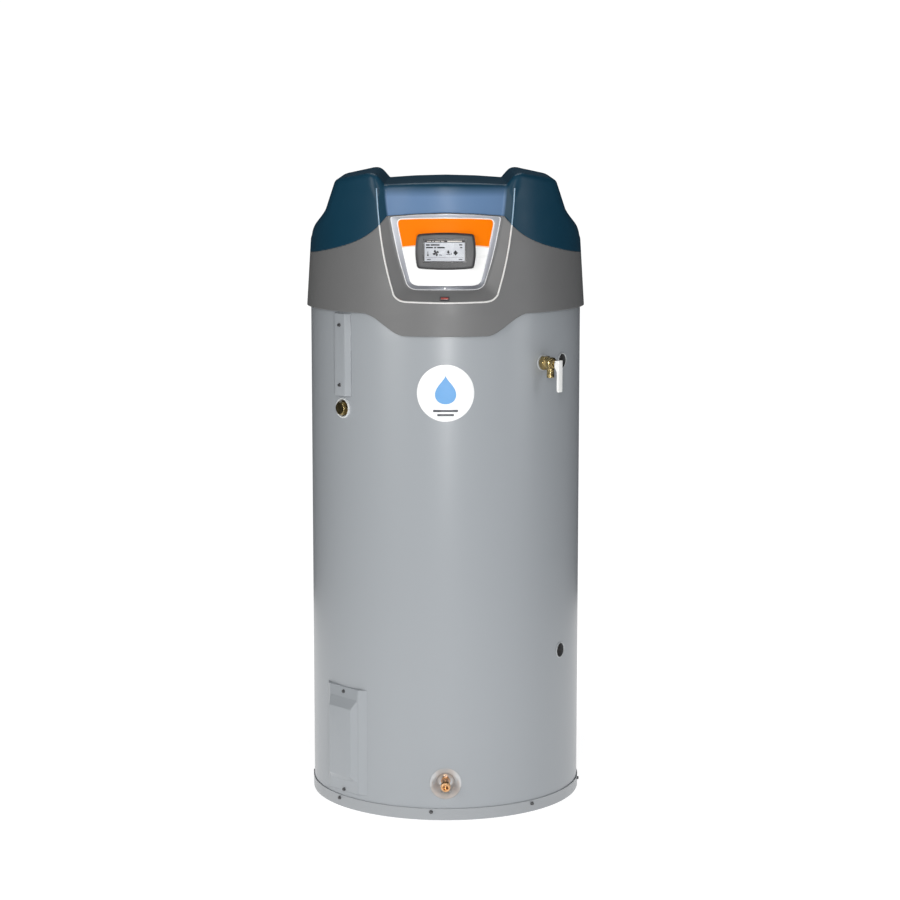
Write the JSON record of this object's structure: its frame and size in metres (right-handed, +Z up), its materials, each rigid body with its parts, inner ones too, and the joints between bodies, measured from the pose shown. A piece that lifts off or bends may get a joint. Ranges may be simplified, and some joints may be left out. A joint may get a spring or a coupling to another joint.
{
  "type": "tank water heater",
  "caption": "Tall round gas storage water heater with a moulded two-tone top shroud, a recessed control display, a relief valve, a drain valve and side water ports.",
  "frame": {"origin": "centre of the base on the floor", "axes": "+Z up, front face with the display towards -Y, +X to the right as seen from the front"},
  "size_m": [0.628, 0.671, 1.423],
  "materials": {
    "jacket_paint": "semi-gloss baked enamel, light grey",
    "base_paint": "semi-gloss baked enamel, light grey",
    "screw_black": "black-coated steel",
    "zinc_steel": "zinc-plated sheet",
    "foam": "rigid polyurethane foam",
    "tank_enamel": "glass-lined steel",
    "flue_steel": "glass-coated steel tube",
    "gasket": "ceramic fibre",
    "cast_alloy": "die-cast, matt",
    "electrode_ceramic": "fired ceramic",
    "black_plastic": "moulded",
    "black_pipe": "black steel pipe",
    "brass": "machined brass",
    "vent_plastic": "rigid vent plastic",
    "board_green": "solder-masked board",
    "shroud_grey": "fine-textured moulded plastic, mid grey",
    "shroud_blue": "moulded plastic, navy blue",
    "frame_silver": "silver-painted plastic",
    "label_print": "printed overlay, orange band over white",
    "bezel_grey": "moulded, dark grey",
    "lens": "clear window",
    "lcd": "lit display panel",
    "rocker_red": "moulded, red",
    "lever_white": "white-coated stamped steel lever",
    "pin_steel": "steel pin",
    "bezel_ring": "pale moulded ring",
    "badge_print": null
  },
  "bodies": {
    "case": {"base_pan": "base_paint", "case_screws": "screw_black", "jacket": "jacket_paint", "jacket_lid": "zinc_steel", "foam_insulation": "foam", "tank_shell": "tank_enamel", "tank_top_head": "tank_enamel", "tank_bottom_head": "tank_enamel", "combustion_chamber": "flue_steel", "flue_coil": "flue_steel", "burner_gasket": "gasket", "burner_flange": "cast_alloy", "flange_bolts": "zinc_steel", "burner_tube": "flue_steel", "igniter": "electrode_ceramic", "flame_sensor": "electrode_ceramic", "mixing_duct": "cast_alloy", "blower_housing": "cast_alloy", "blower_motor": "black_plastic", "gas_valve": "cast_alloy", "gas_inlet_pipe": "black_pipe", "gas_feed_tube": "brass", "intake_collar": "vent_plastic", "intake_mixer": "vent_plastic", "exhaust_collar": "vent_plastic", "condensate_drain": "vent_plastic", "control_box": "zinc_steel", "control_board": "board_green", "wiring_loom": "black_plastic", "shroud_lower": "shroud_grey", "shroud_upper": "shroud_blue", "fascia_frame": "frame_silver", "fascia_label": "label_print", "display_bezel": "bezel_grey", "display_lens": "lens", "lcd_panel": "lcd", "display_board": "board_green", "rocker_frame": "black_plastic", "tp_valve_body": "brass", "tp_valve_pin": "pin_steel", "port_grommets": "bezel_ring", "water_ports": "brass", "plug_bezel": "bezel_ring", "anode_plug": "brass", "temperature_probes": "brass", "drain_recess": "jacket_paint", "drain_body": "brass", "raceway_cover": "jacket_paint", "access_cover": "jacket_paint", "badge": "badge_print"},
    "fan_wheel": {"blower_impeller": "black_plastic"},
    "rocker": {"power_rocker": "rocker_red"},
    "relief_lever": {"tp_valve_lever": "lever_white"},
    "relief_stem": {"tp_valve_stem": "brass"},
    "drain_spindle": {"drain_stem": "brass"},
    "soft_key_1": {"key_1": "bezel_grey"},
    "soft_key_2": {"key_2": "bezel_grey"},
    "soft_key_3": {"key_3": "bezel_grey"},
    "soft_key_4": {"key_4": "bezel_grey"},
    "soft_key_5": {"key_5": "bezel_grey"}
  },
  "joints": [
    {"name": "fan_spin", "type": "hinge", "parent": "case", "child": "fan_wheel", "pos_m": [0.06, 0, 1.275], "axis": [0, 1, 0], "continuous": true},
    {"name": "rocker_tilt", "type": "hinge", "parent": "case", "child": "rocker", "pos_m": [-0.002, -0.30057, 1.15423], "axis": [1, 0, 0], "range_deg": [-18, 0]},
    {"name": "relief_lever_lift", "type": "hinge", "parent": "case", "child": "relief_lever", "pos_m": [0.24375, -0.24978, 1.013], "axis": [-0.7157, -0.6984, 0], "range_deg": [0, 75], "stiffness_Nm_per_rad": 1},
    {"name": "relief_stem_lift", "type": "slide", "parent": "case", "child": "relief_stem", "axis": [0.6984, -0.7157, 0], "range_m": [0, 0.004]},
    {"name": "drain_turn", "type": "hinge", "parent": "case", "child": "drain_spindle", "pos_m": [0, -0.296, 0.0834], "axis": [0, 0, 1], "range_deg": [0, 90]},
    {"name": "key_1_press", "type": "slide", "parent": "case", "child": "soft_key_1", "axis": [0, 1, 0], "range_m": [0, 0.0008], "stiffness_N_per_m": 800},
    {"name": "key_2_press", "type": "slide", "parent": "case", "child": "soft_key_2", "axis": [0, 1, 0], "range_m": [0, 0.0008], "stiffness_N_per_m": 800},
    {"name": "key_3_press", "type": "slide", "parent": "case", "child": "soft_key_3", "axis": [0, 1, 0], "range_m": [0, 0.0008], "stiffness_N_per_m": 800},
    {"name": "key_4_press", "type": "slide", "parent": "case", "child": "soft_key_4", "axis": [0, 1, 0], "range_m": [0, 0.0008], "stiffness_N_per_m": 800},
    {"name": "key_5_press", "type": "slide", "parent": "case", "child": "soft_key_5", "axis": [0, 1, 0], "range_m": [0, 0.0008], "stiffness_N_per_m": 800}
  ],
  "couplings": [
    {"joint": "relief_lever_lift", "follows": "relief_stem_lift", "rad_per_m": 327.2}
  ]
}
